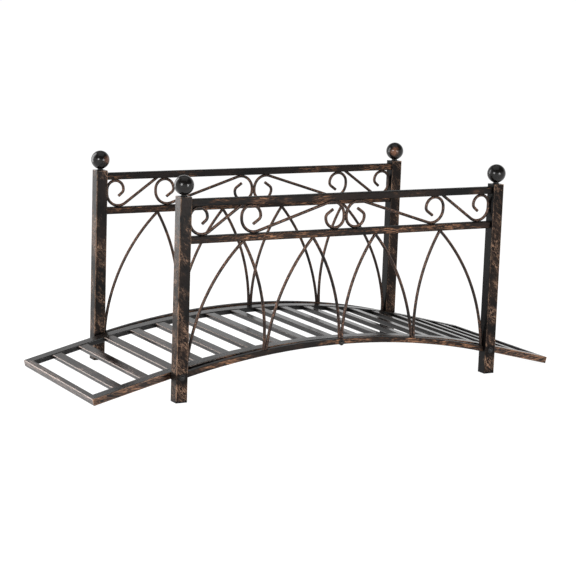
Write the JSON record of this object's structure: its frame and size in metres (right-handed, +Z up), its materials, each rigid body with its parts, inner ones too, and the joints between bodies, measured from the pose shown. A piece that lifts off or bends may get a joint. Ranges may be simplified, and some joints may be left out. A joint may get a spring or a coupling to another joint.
{
  "type": "arched metal garden bridge",
  "caption": "Arched metal garden footbridge with a slatted deck, square posts with ball finials, and railings of pointed arches and scrolls.",
  "frame": {"origin": "on the ground under the middle of the deck", "axes": "+X along the bridge, +Y across it, +Z up"},
  "size_m": [1.5244, 0.6268, 0.6337],
  "materials": {
    "post_paint": "black paint with bronze brushed over it in uneven strokes, satin",
    "finial_paint": "gloss black paint with a faint bronze rub",
    "rail_paint": "black paint with bronze brushed along the tube, satin",
    "bar_paint": "black paint with bronze brushed along the tube, satin",
    "rod_paint": "black paint with a light bronze rub, satin",
    "stringer_paint": "black paint with bronze brushed on the edges and outer faces, satin gloss",
    "slat_paint": "black paint with bronze brushed along the edges, satin gloss",
    "sleeve_paint": "plain black paint"
  },
  "bodies": {
    "root": {"front_left_post": "post_paint", "front_right_post": "post_paint", "back_left_post": "post_paint", "back_right_post": "post_paint", "ball_finials": "finial_paint", "front_top_rail": "rail_paint", "front_lower_rail": "rail_paint", "front_bottom_bar": "bar_paint", "front_arches": "rod_paint", "front_long_scrolls": "rod_paint", "front_end_scrolls": "rod_paint", "front_stringer": "stringer_paint", "back_top_rail": "rail_paint", "back_lower_rail": "rail_paint", "back_bottom_bar": "bar_paint", "back_arches": "rod_paint", "back_long_scrolls": "rod_paint", "back_end_scrolls": "rod_paint", "back_stringer": "stringer_paint", "left_end_bar": "slat_paint", "right_end_bar": "slat_paint", "deck_slats": "slat_paint", "post_sleeves": "sleeve_paint", "middle_sleeves": "sleeve_paint"}
  },
  "joints": []
}
